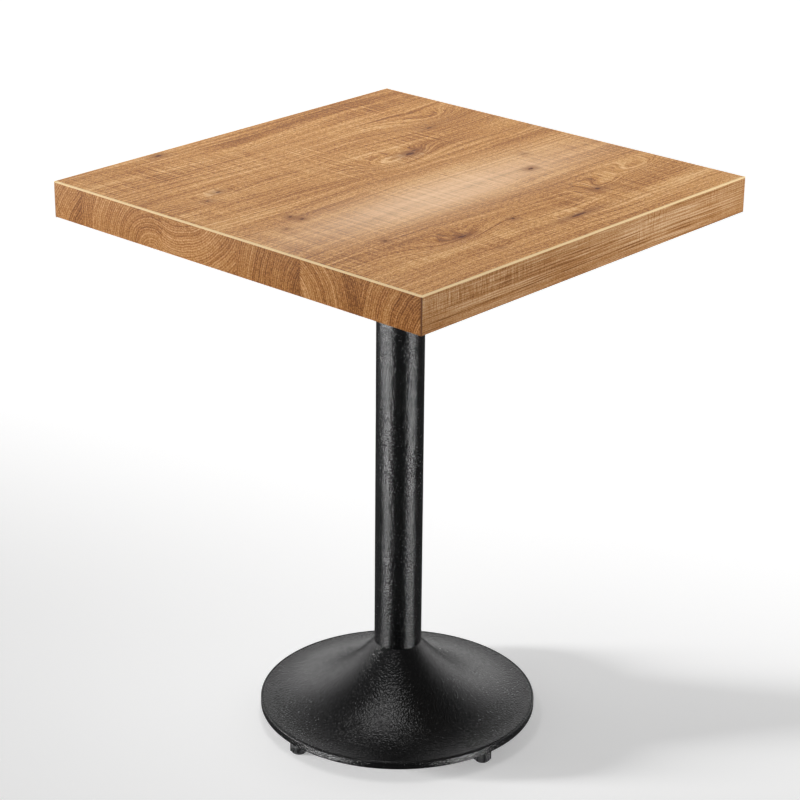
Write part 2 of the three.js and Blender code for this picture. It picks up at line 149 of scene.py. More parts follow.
class Shader:
    """One node material, built a node at a time. Arguments are sockets or plain values."""

    def __init__(self, name, **constants):
        self.material = bpy.data.materials.new(name)
        self.material.use_nodes = True
        self.tree = self.material.node_tree
        self.surface = self.tree.nodes["Principled BSDF"]
        for socket, value in constants.items():
            self.surface.inputs[socket.replace("_", " ")].default_value = value
        self.place = self.node("ShaderNodeTexCoord").outputs["Object"]

    def node(self, kind, inputs=(), **settings):
        made = self.tree.nodes.new(kind)
        for key, value in settings.items():
            setattr(made, key, value)
        for key, value in dict(inputs).items():
            self.feed(made.inputs[key], value)
        return made

    def feed(self, socket, value):
        if isinstance(value, bpy.types.NodeSocket):
            self.tree.links.new(value, socket)
        elif isinstance(value, tuple) and len(value) == 3 and socket.type == "RGBA":
            socket.default_value = (*value, 1)
        else:
            socket.default_value = value

    def math(self, operation, *values):
        made = self.node("ShaderNodeMath", operation=operation)
        for socket, value in zip(made.inputs, values):
            self.feed(socket, value)
        return made.outputs[0]

    def add(self, *values):
        total = values[0]
        for value in values[1:]:
            total = self.math("ADD", total, value)
        return total

    def times(self, *values):
        total = values[0]
        for value in values[1:]:
            total = self.math("MULTIPLY", total, value)
        return total

    def step(self, value, low, high):
        """0 below low, 1 above high, smooth between. low may be greater than high."""
        made = self.node("ShaderNodeMapRange", interpolation_type="SMOOTHSTEP")
        for key, number in zip(("Value", "From Min", "From Max"), (value, low, high)):
            self.feed(made.inputs[key], number)
        return made.outputs["Result"]

    def axes(self):
        made = self.node("ShaderNodeSeparateXYZ", {"Vector": self.place})
        return made.outputs[0], made.outputs[1], made.outputs[2]

    def join(self, x, y, z=0.0):
        return self.node("ShaderNodeCombineXYZ", {"X": x, "Y": y, "Z": z}).outputs[0]

    def scaled(self, x, y, z):
        inputs = {0: self.place, 1: (x, y, z)}
        made = self.node("ShaderNodeVectorMath", inputs, operation="MULTIPLY")
        return made.outputs[0]

    def noise(self, vector, detail=2.0, roughness=0.5):
        inputs = {"Vector": vector, "Scale": 1.0, "Detail": detail, "Roughness": roughness}
        return self.node("ShaderNodeTexNoise", inputs).outputs["Fac"]

    def cells(self, vector):
        made = self.node("ShaderNodeTexVoronoi", {"Vector": vector, "Scale": 1.0})
        return made.outputs["Distance"]

    def ramp(self, factor, stops, interpolation="LINEAR"):
        made = self.node("ShaderNodeValToRGB", {"Fac": factor})
        ramp = made.color_ramp
        ramp.interpolation = interpolation
        while len(ramp.elements) < len(stops):
            ramp.elements.new(0.5)
        for element, (position, color) in zip(ramp.elements, stops):
            element.position = position
            element.color = (*color, 1)
        return made.outputs["Color"]

    def mix(self, factor, a, b):
        made = self.node("ShaderNodeMix", data_type="RGBA")
        self.feed(made.inputs["Factor"], factor)
        self.feed(made.inputs["A"], a)
        self.feed(made.inputs["B"], b)
        return made.outputs["Result"]

    def centered(self, value, gain):
        """A 0 to 1 field as a swing around 0."""
        return self.times(self.math("SUBTRACT", value, 0.5), gain)

    def color(self, value):
        self.feed(self.surface.inputs["Base Color"], value)

    def roughness(self, value):
        self.feed(self.surface.inputs["Roughness"], value)

    def bump(self, height, strength, distance):
        inputs = {"Height": height, "Strength": strength, "Distance": distance}
        made = self.node("ShaderNodeBump", inputs)
        self.feed(self.surface.inputs["Normal"], made.outputs["Normal"])


# ---- Wood ----

OAK_RAMP = (
    (0.08, (0.170, 0.048, 0.006)),
    (0.28, (0.330, 0.112, 0.015)),
    (0.50, (0.525, 0.238, 0.056)),
    (0.72, (0.670, 0.368, 0.130)),
    (0.92, (0.800, 0.520, 0.270)),
)
END_RAMP = (
    (0.08, (0.120, 0.036, 0.006)),
    (0.28, (0.230, 0.078, 0.012)),
    (0.50, (0.362, 0.154, 0.038)),
    (0.72, (0.480, 0.236, 0.080)),
    (0.92, (0.610, 0.350, 0.160)),
)
LONG_RAMP = (
    (0.08, (0.150, 0.052, 0.012)),
    (0.30, (0.270, 0.115, 0.032)),
    (0.50, (0.365, 0.180, 0.066)),
    (0.70, (0.440, 0.255, 0.120)),
    (0.92, (0.570, 0.380, 0.220)),
)
# Whitish colour of the sheen painted over a band of the top.
PAINTED_SHEEN_COLOR = (0.840, 0.560, 0.340)
KNOT_BROWN = (0.235, 0.075, 0.012)
KNOT_CORE = (0.110, 0.021, 0.002)
CREAM = (0.800, 0.600, 0.330)
CORNER_LINE_BROWN = (0.100, 0.036, 0.010)
WOOD_GLOSS = {"Roughness": 0.5, "IOR": 1.45, "Specular_IOR_Level": 0.1}

# Knots of the decor sheet: x, y, half length, half width (metres), darkness.
KNOTS = (
    (0.087, 0.065, 0.0085, 0.0040, 1.0),
    (0.101, 0.071, 0.0060, 0.0016, 0.9),
    (0.195, 0.127, 0.0080, 0.0022, 0.8),
    (0.136, -0.202, 0.0042, 0.0034, 1.0),
    (0.038, -0.250, 0.0160, 0.0024, 0.9),
    (-0.121, -0.203, 0.0085, 0.0030, 0.9),
    (-0.028, -0.203, 0.0032, 0.0026, 0.8),
    (0.144, -0.089, 0.0050, 0.0030, 0.9),
    (0.189, -0.041, 0.0034, 0.0026, 0.6),
    (-0.197, 0.125, 0.0050, 0.0030, 0.8),
    (-0.231, 0.108, 0.0036, 0.0024, 0.7),
    (-0.206, -0.007, 0.0028, 0.0026, 0.9),
    (-0.202, -0.023, 0.0036, 0.0026, 0.9),
    (-0.242, -0.036, 0.0030, 0.0022, 0.7),
    (-0.194, -0.149, 0.0028, 0.0024, 0.8),
    (-0.143, 0.291, 0.0055, 0.0034, 0.9),
    (-0.119, -0.262, 0.0034, 0.0018, 0.5),
)
# Places where the grain lines swirl: x, y, reach along, reach across, lift (metres).
SWIRLS = (
    (0.045, 0.057, 0.050, 0.024, 0.046),
    (0.100, 0.066, 0.034, 0.018, 0.020),
    (0.165, -0.196, 0.044, 0.020, 0.030),
    (0.130, -0.204, 0.022, 0.010, 0.014),
    (-0.135, -0.205, 0.060, 0.020, 0.028),
    (0.250, -0.180, 0.060, 0.022, 0.030),
    (0.235, 0.155, 0.070, 0.030, 0.040),
    (-0.205, 0.118, 0.050, 0.014, 0.018),
    (0.030, -0.245, 0.050, 0.012, 0.014),
    (-0.040, 0.235, 0.060, 0.016, 0.016),
)
# Darker (negative) and lighter patches of tone: x, y, reach along, reach across, change.
SMUDGES = (
    (-0.025, 0.262, 0.050, 0.010, -0.20),
    (0.190, 0.274, 0.110, 0.012, -0.20),
    (-0.205, 0.270, 0.060, 0.020, -0.10),
    (0.140, 0.080, 0.090, 0.024, -0.13),
    (0.060, 0.082, 0.030, 0.014, -0.10),
    (0.250, 0.150, 0.060, 0.028, -0.10),
    (-0.140, -0.020, 0.130, 0.020, -0.08),
    (-0.110, -0.205, 0.034, 0.014, -0.14),
    (0.040, -0.222, 0.080, 0.014, -0.08),
    (0.060, -0.150, 0.150, 0.020, -0.10),
    (0.210, -0.215, 0.080, 0.016, -0.08),
    (-0.230, 0.030, 0.080, 0.020, 0.07),
    (0.050, 0.190, 0.200, 0.030, 0.05),
    (-0.215, 0.112, 0.045, 0.010, 0.10),
)
# Staves of the end-grain bands from their -Y end: start along the edge (0 to 1), pith place
# (along Y and above the underside, metres), tone at the stave's -Y side and at its +Y side.
STAVES = (
    (0.000, -0.345, -0.013, 0.30, 0.41),
    (0.147, -0.095, -0.008, 0.30, 0.50),
    (0.302, -0.200, -0.013, 0.20, 0.44),
    (0.472, 0.085, 0.097, 0.36, 0.58),
    (0.678, 0.128, -0.003, 0.50, 0.50),
    (0.915, 0.150, -0.063, 0.36, 0.52),
)
STAVE_TURN = 0.35  # share of a stave over which its tone has mostly turned
STAVE_CODE_SHIFT = 0.5  # keeps the coded pith places between 0 and 1
JOINT_SHARE = 0.0006  # half the width of the step in tone between two staves, along the edge
TOP_RING_SPACING = 0.0072  # metres, as the next one
END_RING_SPACING = 0.0031
# Band along the grain where a whitish sheen is painted on the top:
PAINTED_SHEEN_BAND = (-0.020, -0.080, 0.250, 0.052)  # x, y, reach along, reach across
HALO_REACH = 2.9  # reach of a knot's brown halo, in sizes of the knot
LONG_SMUDGE = (-0.056, UNDERSIDE_Z + 0.012, 0.045, 0.014)  # x, z, reach along, reach up


def hump(s, x, y, at_x, at_y, reach_x, reach_y):
    """Bell-shaped hump of height 1 around a place."""
    dx = s.math("DIVIDE", s.math("SUBTRACT", x, at_x), reach_x)
    dy = s.math("DIVIDE", s.math("SUBTRACT", y, at_y), reach_y)
    squares = s.add(s.times(dx, dx), s.times(dy, dy))
    return s.math("EXPONENT", s.times(squares, -1.0))


def oak_top():
    """Decor sheet: flowing grain along X, swirls and knots, and saw marks across the grain."""
    s = Shader("oak_top", **WOOD_GLOSS)
    x, y, _ = s.axes()

    # The grain field: level lines run along X, drift slowly and close around the swirls.
    flow = s.add(y, s.centered(s.noise(s.scaled(2.0, 6.0, 1.0), detail=2.0), 0.050))
    flow = s.add(flow, s.centered(s.noise(s.scaled(14.0, 30.0, 1.0), detail=1.0), 0.006))
    swirl = 0.0
    for at_x, at_y, along, across, lift in SWIRLS:
        near = hump(s, x, y, at_x, at_y, along, across)
        flow = s.add(flow, s.times(near, lift))
        swirl = s.math("MAXIMUM", swirl, near)

    broad = s.noise(s.join(s.times(x, 1.7), s.times(flow, 15.0), 0.0), detail=2.0)
    bands = s.noise(s.join(s.times(x, 3.2), s.times(flow, 62.0), 1.0), detail=2.0, roughness=0.6)
    lines = s.noise(s.join(s.times(x, 4.0), s.times(flow, 250.0), 2.0), detail=3.0, roughness=0.6)
    fibre = s.noise(s.join(s.times(x, 170.0), s.times(flow, 640.0), 3.0), detail=2.0, roughness=0.6)
    grit = s.noise(s.scaled(820.0, 820.0, 1.0), detail=1.0, roughness=0.6)
    ring_turn = s.times(flow, 2 * math.pi / TOP_RING_SPACING)
    rings = s.math("SINE", s.add(ring_turn, s.times(bands, 5.0)))
    tone = s.add(
        0.51, s.centered(broad, 0.70), s.centered(bands, 0.50), s.centered(lines, 1.05),
        s.centered(fibre, 1.2), s.centered(grit, 1.0),
        s.times(rings, s.add(0.012, s.times(swirl, 0.120))),
    )
    threads = s.noise(s.join(s.times(x, 3.0), s.times(flow, 300.0), 6.0), detail=1.0)
    tone = s.add(tone, s.times(s.step(threads, 0.58, 0.68), -0.13))
    for at_x, at_y, along, across, change in SMUDGES:
        tone = s.add(tone, s.times(hump(s, x, y, at_x, at_y, along, across), change))

    # Saw marks: fine lines across the grain, in patches and all over the band of painted sheen.
    pale = hump(s, x, y, *PAINTED_SHEEN_BAND)
    patch = s.step(s.noise(s.scaled(5.5, 11.0, 1.0), detail=2.0), 0.42, 0.62)
    patch = s.math("MAXIMUM", s.times(patch, 0.55), pale)
    sawn = s.noise(s.join(s.times(x, 330.0), s.times(y, 7.0), 4.0), detail=1.0, roughness=0.6)
    scratch = s.times(s.centered(sawn, 1.0), s.add(0.15, patch))
    tone = s.add(tone, s.times(scratch, 1.25))
    base = s.ramp(tone, OAK_RAMP)
    # Painted sheen: the band is whitened in the colour, varying with the grain bands and saw marks.
    sheen_share = s.times(pale, s.add(0.86, s.centered(bands, 0.6), s.centered(sawn, 0.5)))
    base = s.mix(s.math("MAXIMUM", sheen_share, 0.0), base, PAINTED_SHEEN_COLOR)

    # Open pores: short dark dashes along the grain.
    pore_place = s.join(s.times(x, 120.0), s.times(flow, 640.0), 5.0)
    pores = s.step(s.noise(pore_place, detail=1.0), 0.60, 0.72)
    base = s.mix(s.times(pores, 0.30), base, KNOT_BROWN)

    # Knots: brown halo and a ragged dark red-brown core.
    ragged = s.noise(s.scaled(300.0, 460.0, 1.0), detail=2.0)
    halo = 0.0
    core = 0.0
    for at_x, at_y, long, wide, darkness in KNOTS:
        outer = hump(s, x, y, at_x, at_y, long * HALO_REACH, wide * HALO_REACH)
        inner = hump(s, x, y, at_x, at_y, long, wide)
        halo = s.add(halo, s.times(outer, darkness * 0.85))
        core = s.math("MAXIMUM", core, s.times(inner, darkness))
    core = s.step(s.add(core, s.times(ragged, 0.8)), 0.78, 0.98)
    base = s.mix(s.math("MINIMUM", halo, 0.8), base, KNOT_BROWN)
    s.color(s.mix(core, base, KNOT_CORE))

    s.roughness(s.add(0.46, s.centered(fibre, 0.25), s.times(pores, 0.12)))
    height = s.add(s.times(fibre, 0.9), s.times(scratch, 0.8), s.times(pores, -0.6))
    s.bump(height, 0.4, 0.0006)
    return s.material


def cream_arris(s, z, base):
    """The thin pale line where a band's top edge is scraped round."""
    return s.mix(s.step(z, TOP_Z - 2.1 * MM, TOP_Z - 1.6 * MM), base, CREAM)


def stave_ramps(s, share):
    """Pith place and tone of the stave at a share of the edge.

    The two coordinates of a stave's pith travel as the red and green of a stepped ramp.
    """
    codes = []
    tones = []
    ends = [start for start, *_ in STAVES[1:]] + [1.0]
    for (start, pith_y, pith_z, low, high), end in zip(STAVES, ends):
        codes.append((start, (pith_y + STAVE_CODE_SHIFT, pith_z + STAVE_CODE_SHIFT, 0.0)))
        tones.append((start + JOINT_SHARE, (low, low, low)))
        tones.append((start + STAVE_TURN * (end - start), (0.3 * low + 0.7 * high,) * 3))
        tones.append((end - JOINT_SHARE, (high, high, high)))
    coded = s.node("ShaderNodeSeparateColor", {"Color": s.ramp(share, codes, "CONSTANT")}).outputs
    pith_y = s.math("SUBTRACT", coded["Red"], STAVE_CODE_SHIFT)
    pith_z = s.math("SUBTRACT", coded["Green"], STAVE_CODE_SHIFT)
    return pith_y, pith_z, s.ramp(share, tones)


def oak_end_band():
    """End grain printed on the -X and +X bands: staves with arcs of annual rings."""
    s = Shader("oak_end_band", **WOOD_GLOSS)
    _, y, z = s.axes()
    share = s.math("DIVIDE", s.add(y, HALF), 2 * HALF)
    pith_y, pith_z, stave_tone = stave_ramps(s, share)
    dy = s.math("SUBTRACT", y, pith_y)
    dz = s.math("SUBTRACT", s.math("SUBTRACT", z, UNDERSIDE_Z), pith_z)
    radius = s.math("SQRT", s.add(s.times(dy, dy), s.times(dz, dz)))
    turned = s.add(radius, s.centered(s.noise(s.scaled(26, 26, 26), detail=2.0), 0.007))
    rings = s.math("SINE", s.times(turned, 2 * math.pi / END_RING_SPACING))
    year = s.noise(s.join(s.times(turned, 240.0), s.times(pith_y, 40.0), 0.0), detail=2.0)
    wide = s.noise(s.join(s.times(turned, 34.0), s.times(pith_y, 9.0), 0.0), detail=1.0)
    grit = s.noise(s.scaled(700, 700, 700), detail=2.0, roughness=0.7)
    tone = s.add(
        stave_tone, s.times(rings, 0.125), s.centered(year, 0.85), s.centered(wide, 0.60),
        s.centered(grit, 1.6),
    )
    s.color(cream_arris(s, z, s.ramp(tone, END_RAMP)))
    s.roughness(s.add(0.48, s.centered(grit, 0.2)))
    s.bump(s.add(s.times(rings, 0.25), s.times(grit, 0.6)), 0.35, 0.0005)
    return s.material


def oak_long_band():
    """Long grain printed on the -Y and +Y bands: straight lines and upright saw marks."""
    s = Shader("oak_long_band", **WOOD_GLOSS)
    x, y, z = s.axes()
    up = s.math("DIVIDE", s.math("SUBTRACT", z, UNDERSIDE_Z), TOP_Z - UNDERSIDE_Z)
    level = s.add(z, s.centered(s.noise(s.scaled(3.0, 1.0, 8.0), detail=1.0), 0.008))
    lines = s.noise(s.join(s.times(x, 3.2), 0.0, s.times(level, 520.0)), detail=2.0, roughness=0.5)
    threads = s.noise(s.join(s.times(x, 20.0), 1.0, s.times(level, 1100.0)), detail=1.0)
    grit = s.noise(s.scaled(420, 420, 700), detail=2.0, roughness=0.7)
    broad = s.noise(s.join(s.times(x, 4.0), 2.0, s.times(level, 50.0)), detail=1.0)
    lined = s.step(up, 0.95, 0.45)
    patch = s.step(s.noise(s.scaled(13, 1, 18), detail=1.0), 0.40, 0.60)
    sawn = s.noise(s.join(s.times(x, 430.0), 0.0, s.times(z, 40.0)), detail=1.0)
    scratch = s.times(s.centered(sawn, 1.0), s.add(0.2, s.times(patch, s.step(up, 0.1, 0.8))))
    # Painted light: the tone rises towards +X, so each long band is lighter toward that end.
    tone = s.add(
        0.515, s.times(x, 0.11), s.centered(lines, 1.1), s.times(s.centered(lines, 0.9), lined),
        s.centered(threads, 1.1), s.centered(grit, 1.0), s.centered(broad, 0.35), scratch,
    )
    # Darker towards the bottom of the band and a little lighter towards the top.
    tone = s.add(tone, s.times(s.step(up, 0.30, 0.0), -0.13), s.times(s.step(up, 0.6, 1.0), 0.03))
    tone = s.add(tone, s.times(hump(s, x, z, *LONG_SMUDGE), -0.14))
    base = cream_arris(s, z, s.ramp(tone, LONG_RAMP))

    # Dark line down the front band's end, at the corner with the left end band.
    at_corner = s.times(s.step(x, 1.3 * MM - HALF, 0.5 * MM - HALF), s.step(y, 0.0, -HALF))
    corner_line = s.times(at_corner, s.step(z, TOP_Z - 1.0 * MM, TOP_Z - 2.2 * MM))
    s.color(s.mix(corner_line, base, CORNER_LINE_BROWN))
    s.roughness(s.add(0.48, s.centered(grit, 0.2)))
    s.bump(s.add(s.times(lines, 0.6), s.times(grit, 0.5), s.times(scratch, 0.8)), 0.35, 0.0005)
    return s.material


def particle_board():
    """Pressed chips of several tones."""
    s = Shader("particle_board", Roughness=0.9)
    chips = s.cells(s.scaled(220, 420, 300))
    dust = s.noise(s.scaled(700, 700, 700), detail=3.0)
    tone = s.add(s.times(chips, 0.8), s.times(dust, 0.5), -0.05)
    s.color(s.ramp(tone, (
        (0.15, (0.33, 0.21, 0.11)),
        (0.50, (0.58, 0.43, 0.26)),
        (0.85, (0.74, 0.60, 0.42)),
    )))
    s.bump(tone, 0.5, 0.0006)
    return s.material


def backer_sheet():
    """Dark brown balancing laminate with a fine matt grain."""
    s = Shader("backer_sheet", Roughness=0.6, IOR=1.45)
    grain = s.noise(s.scaled(900, 900, 900), detail=3.0)
    cloud = s.noise(s.scaled(12, 12, 12), detail=2.0)
    tone = s.add(s.times(grain, 0.6), s.times(cloud, 0.4))
    s.color(s.ramp(tone, ((0.3, (0.040, 0.030, 0.024)), (0.7, (0.085, 0.066, 0.052)))))
    s.roughness(s.add(0.5, s.times(grain, 0.25)))
    s.bump(grain, 0.3, 0.0003)
    return s.material


# ---- Metal and plastic ----


def powder_coat():
    """Black powder coat with a fine pebbled texture that glitters where light grazes it."""
    s = Shader("black_powder_coat", IOR=1.5)
    pebble = s.noise(s.scaled(440, 440, 440), detail=1.0, roughness=0.5)
    cloud = s.noise(s.scaled(14, 14, 14), detail=2.0)
    s.color(s.ramp(s.add(s.times(pebble, 0.7), s.times(cloud, 0.3)), (
        (0.30, (0.0014, 0.0014, 0.0016)),
        (0.70, (0.0050, 0.0050, 0.0054)),
    )))
    s.roughness(s.add(0.15, s.times(pebble, 0.13), s.times(cloud, 0.05)))
    s.bump(pebble, 0.8, 0.0010)
    return s.material


def zinc_steel():
    """Zinc-plated steel with turning lines and slightly dull spots."""
    s = Shader("zinc_steel", Metallic=1.0)
    turned = s.noise(s.scaled(160, 160, 2600), detail=2.0)
    dull = s.noise(s.scaled(180, 180, 180), detail=3.0)
    s.color(s.ramp(dull, ((0.3, (0.42, 0.43, 0.44)), (0.7, (0.66, 0.66, 0.66)))))
    s.roughness(s.add(0.22, s.times(turned, 0.16), s.times(dull, 0.16)))
    s.bump(turned, 0.2, 0.0002)
    return s.material


def black_nylon():
    """Moulded black nylon with a fine spark-eroded grain."""
    s = Shader("black_nylon", IOR=1.5)
    grain = s.noise(s.scaled(1100, 1100, 1100), detail=2.0)
    cloud = s.noise(s.scaled(90, 90, 90), detail=2.0)
    s.color(s.ramp(cloud, ((0.3, (0.010, 0.010, 0.011)), (0.7, (0.020, 0.020, 0.021)))))
    s.roughness(s.add(0.30, s.times(grain, 0.2)))
    s.bump(grain, 0.3, 0.0003)
    return s.material


def grey_sole():
    """Dark grey rubbery sole, scuffed pale where it meets the floor."""
    s = Shader("grey_sole", IOR=1.45)
    scuff = s.noise(s.scaled(260, 420, 200), detail=4.0, roughness=0.7)
    z = s.axes()[2]
    worn = s.times(s.step(scuff, 0.48, 0.7), s.step(z, 0.9 * MM, 0.0))
    base = s.ramp(scuff, ((0.3, (0.030, 0.030, 0.031)), (0.7, (0.055, 0.055, 0.056))))
    s.color(s.mix(s.times(worn, 0.6), base, (0.16, 0.155, 0.15)))
    s.roughness(s.add(0.62, s.times(scuff, 0.25)))
    s.bump(scuff, 0.3, 0.0004)
    return s.material


MATERIALS = {
    "oak_decor": oak_top(),
    "oak_end_band": oak_end_band(),
    "oak_long_band": oak_long_band(),
    "backer_sheet": backer_sheet(),
    "particle_board": particle_board(),
    "black_powder_coat": powder_coat(),
    "zinc_steel": zinc_steel(),
    "black_nylon": black_nylon(),
    "grey_sole": grey_sole(),
}

# ---- Mesh helpers ----

WELD_DISTANCE = 1e-6
SMOOTH_DEG = 35
ROUND_STEPS = 4
HOLE_SEGMENTS = 32
SCREW_HOLE_SEGMENTS = 24
SCREW_SEGMENTS = 48


def new_piece(name, bm, body, slot, nodes, cutters=None):
    """Turns a bmesh into a piece that rides on a body and stands for CAD nodes."""
    bmesh.ops.remove_doubles(bm, verts=bm.verts, dist=WELD_DISTANCE)
    bmesh.ops.recalc_face_normals(bm, faces=bm.faces)
    mesh = bpy.data.meshes.new(name)
    bm.to_mesh(mesh)
    bm.free()
    if cutters:
        mesh = drilled(name, mesh, cutters)
    mesh.shade_smooth()
    mesh.set_sharp_from_angle(angle=math.radians(SMOOTH_DEG))
    mesh.materials.clear()
    mesh.materials.append(MATERIALS[slot])
    piece = link(bpy.data.objects.new(name, mesh))
    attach(piece, body)
    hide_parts(*nodes)
    return piece


def drilled(name, mesh, cutters):
    """A copy of a mesh with the cutters' shapes taken away."""
    bmesh.ops.recalc_face_normals(cutters, faces=cutters.faces)
    tool_mesh = bpy.data.meshes.new(name + "_cut")
    cutters.to_mesh(tool_mesh)
    cutters.free()
    blank = link(bpy.data.objects.new(name + "_blank", mesh))
    tool = link(bpy.data.objects.new(name + "_cut", tool_mesh))
    modifier = blank.modifiers.new("holes", "BOOLEAN")
    modifier.operation = "DIFFERENCE"
    modifier.solver = "EXACT"
    modifier.object = tool
    bpy.context.view_layer.update()
    result = blank.evaluated_get(bpy.context.evaluated_depsgraph_get())
    cut = bpy.data.meshes.new_from_object(result)
    bpy.data.objects.remove(blank)
    bpy.data.objects.remove(tool)
    return cut


def arc(center_r, center_z, radius, start_deg, end_deg, steps=ROUND_STEPS):
    """Points of a rounded corner in the (radius, height) plane."""
    turn = end_deg - start_deg
    angles = [math.radians(start_deg + turn * i / steps) for i in range(steps + 1)]
    return [(center_r + radius * math.cos(a), center_z + radius * math.sin(a)) for a in angles]


def revolve(bm, outline, segments, at=(0.0, 0.0), shape=None):
    """Turns a closed outline of (radius, height) points about an upright axis.

    shape(radius, angle, height) gives the radius at an angle where a ring isn't round.
    """
    rings = []
    for radius, height in outline:
        if radius == 0:
            rings.append([bm.verts.new((at[0], at[1], height))])
            continue
        ring = []
        for i in range(segments):
            angle = 2 * math.pi * i / segments
            reach = shape(radius, angle, height) if shape else radius
            x = at[0] + reach * math.cos(angle)
            y = at[1] + reach * math.sin(angle)
            ring.append(bm.verts.new((x, y, height)))
        rings.append(ring)
    pairs = list(zip(rings, rings[1:]))
    if len(rings[0]) > 1 or len(rings[-1]) > 1:
        pairs.append((rings[-1], rings[0]))
    for one, two in pairs:
        for i in range(segments):
            j = (i + 1) % segments
            corners = [one[i % len(one)], one[j % len(one)], two[j % len(two)], two[i % len(two)]]
            unique = list(dict.fromkeys(corners))
            if len(unique) > 2:
                bm.faces.new(unique)


def sweep_straight(bm, section, start, end, place):
    """Prism of a closed section of (a, b) points, with place(a, b, t) giving each end's points."""
    ends = [[bm.verts.new(place(a, b, t)) for a, b in section] for t in (start, end)]
    for i in range(len(section)):
        j = (i + 1) % len(section)
        bm.faces.new((ends[0][i], ends[0][j], ends[1][j], ends[1][i]))
    bm.faces.new(ends[0])
    bm.faces.new(ends[1][::-1])


def axis_of(node):
    """Middle of a node's box, seen from above."""
    low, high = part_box(node)
    return ((low.x + high.x) / 2, (low.y + high.y) / 2)


def hole_outline(radius, low, high):
    """Outline of the cutter of a straight hole. It passes the hole's ends by a millimetre."""
    return [(0, low - MM), (radius, low - MM), (radius, high + MM), (0, high + MM)]


# ---- Tabletop pieces ----

CORNER_BREAK = 0.5 * MM
ARRIS_STEPS = 6
PLATE_BREAK = 0.6 * MM
PLATE_CORNER_STEPS = 10
RECESS_LOBES = 6
LOBE_DEPTH = 0.09  # share of the recess's radius


def band_section():
    """Cross-section of a band as (distance outward from the core, height), rounded outside."""
    low, high = UNDERSIDE_Z, TOP_Z
    inner = BAND - ARRIS
    return (
        [(0, low)] + arc(inner, low + ARRIS, ARRIS, -90, 0, ARRIS_STEPS)
        + arc(inner, high - ARRIS, ARRIS, 0, 90, ARRIS_STEPS) + [(0, high)]
    )


def is_outer_corner(edge):
    """Upright edges at the table's outer corners."""
    a, b = (v.co for v in edge.verts)
    upright = abs(a.z - b.z) > (TOP_Z - UNDERSIDE_Z) / 2
    return upright and min(abs(a.x), abs(a.y)) > HALF - CORNER_BREAK


def add_bands():
    """The end bands stop at the long bands, which run from corner to corner."""
    turns = {
        "edge_band_right_end": (lambda a, b, t: (CORE_HALF + a, t, b), CORE_HALF, "oak_end_band"),
        "edge_band_left_end": (lambda a, b, t: (-CORE_HALF - a, t, b), CORE_HALF, "oak_end_band"),
        "edge_band_back": (lambda a, b, t: (t, CORE_HALF + a, b), HALF, "oak_long_band"),
        "edge_band_front": (lambda a, b, t: (t, -CORE_HALF - a, b), HALF, "oak_long_band"),
    }
    for node, (place, reach, slot) in turns.items():
        bm = bmesh.new()
        sweep_straight(bm, band_section(), -reach, reach, place)
        corners = [edge for edge in bm.edges if is_outer_corner(edge)]
        if corners:
            broken = {"offset": CORNER_BREAK, "segments": 3, "affect": "EDGES", "profile": 0.5}
            bmesh.ops.bevel(bm, geom=corners, **broken)
        new_piece(node + "_fine", bm, "table", slot, [node])


def add_mounting_plate():
    """Plate with rounded corners, broken edges and drilled holes."""
    low, high = mount_low.z, mount_high.z
    inner = mount_high.x - PLATE_CORNER_R
    corners = (
        (inner, -inner, -90),
        (inner, inner, 0),
        (-inner, inner, 90),
        (-inner, -inner, 180),
    )
    outline = []
    for x, y, start in corners:
        outline += arc(x, y, PLATE_CORNER_R, start, start + 90, PLATE_CORNER_STEPS)
    bm = bmesh.new()
    sweep_straight(bm, outline, low, high, lambda a, b, t: (a, b, t))
    rims = [e for e in bm.edges if abs(e.verts[0].co.z - e.verts[1].co.z) < WELD_DISTANCE]
    bmesh.ops.bevel(bm, geom=rims, offset=PLATE_BREAK, segments=2, affect="EDGES", profile=0.5)
    holes = bmesh.new()
    revolve(holes, hole_outline(ROD_HOLE_R, low, high), HOLE_SEGMENTS)
    screw_hole = hole_outline(WOOD_SCREW_R + GAP, low, high)
    for number in WOOD_SCREWS:
        revolve(holes, screw_hole, SCREW_HOLE_SEGMENTS, axis_of(f"wood_screw_{number}"))
    new_piece("mounting_plate_fine", bm, "table", "black_powder_coat", ["mounting_plate"], holes)


def star_recess(recess_r):
    """Shape of a screw's driving recess: rings inside recess_r get lobes, the rest stay round."""
    def shape(radius, angle, height):
        if radius > recess_r:
            return radius
        return radius * (1 - LOBE_DEPTH + LOBE_DEPTH * math.cos(RECESS_LOBES * angle))
    return shape


def add_wood_screws():
    """Pan-head screws with a six-lobed recess."""
    recess_r = 2.6 * MM
    recess_depth = 1.6 * MM
    recess_break = 0.15 * MM
    dome = 1.6 * MM
    tip = 4 * MM
    seat = mount_low.z
    for number in WOOD_SCREWS:
        node = f"wood_screw_{number}"
        low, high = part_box(node)
        head_r = (high.x - low.x) / 2
        recess_top = low.z + recess_depth
        outline = (
            [(0, recess_top), (recess_r * 0.9, recess_top), (recess_r, low.z + recess_break)]
            + [(recess_r * 1.12, low.z)] + arc(head_r - dome, low.z + dome, dome, -90, 0)
            + [(head_r, seat), (WOOD_SCREW_R, seat), (WOOD_SCREW_R, high.z - tip), (0, high.z)]
        )
        bm = bmesh.new()
        revolve(bm, outline, SCREW_SEGMENTS, axis_of(node), star_recess(recess_r * 1.01))
        new_piece(node + "_fine", bm, "table", "zinc_steel", [node])


# ---- Column and base ----

COVER_LIP_Z = cover_low.z + COVER_SHEET  # top of the lip, where the flare ends
FLARE_RISE = cover_high.z - COVER_LIP_Z
FLARE_RUN = LIP_R - COLUMN_R
FLARE_STEPS = 72
FLARE_CROWDING = 1.3  # above 1 sets the rings closer together near the column
COVER_SEGMENTS = 192
COLUMN_SEGMENTS = 128
BASE_SEGMENTS = 256


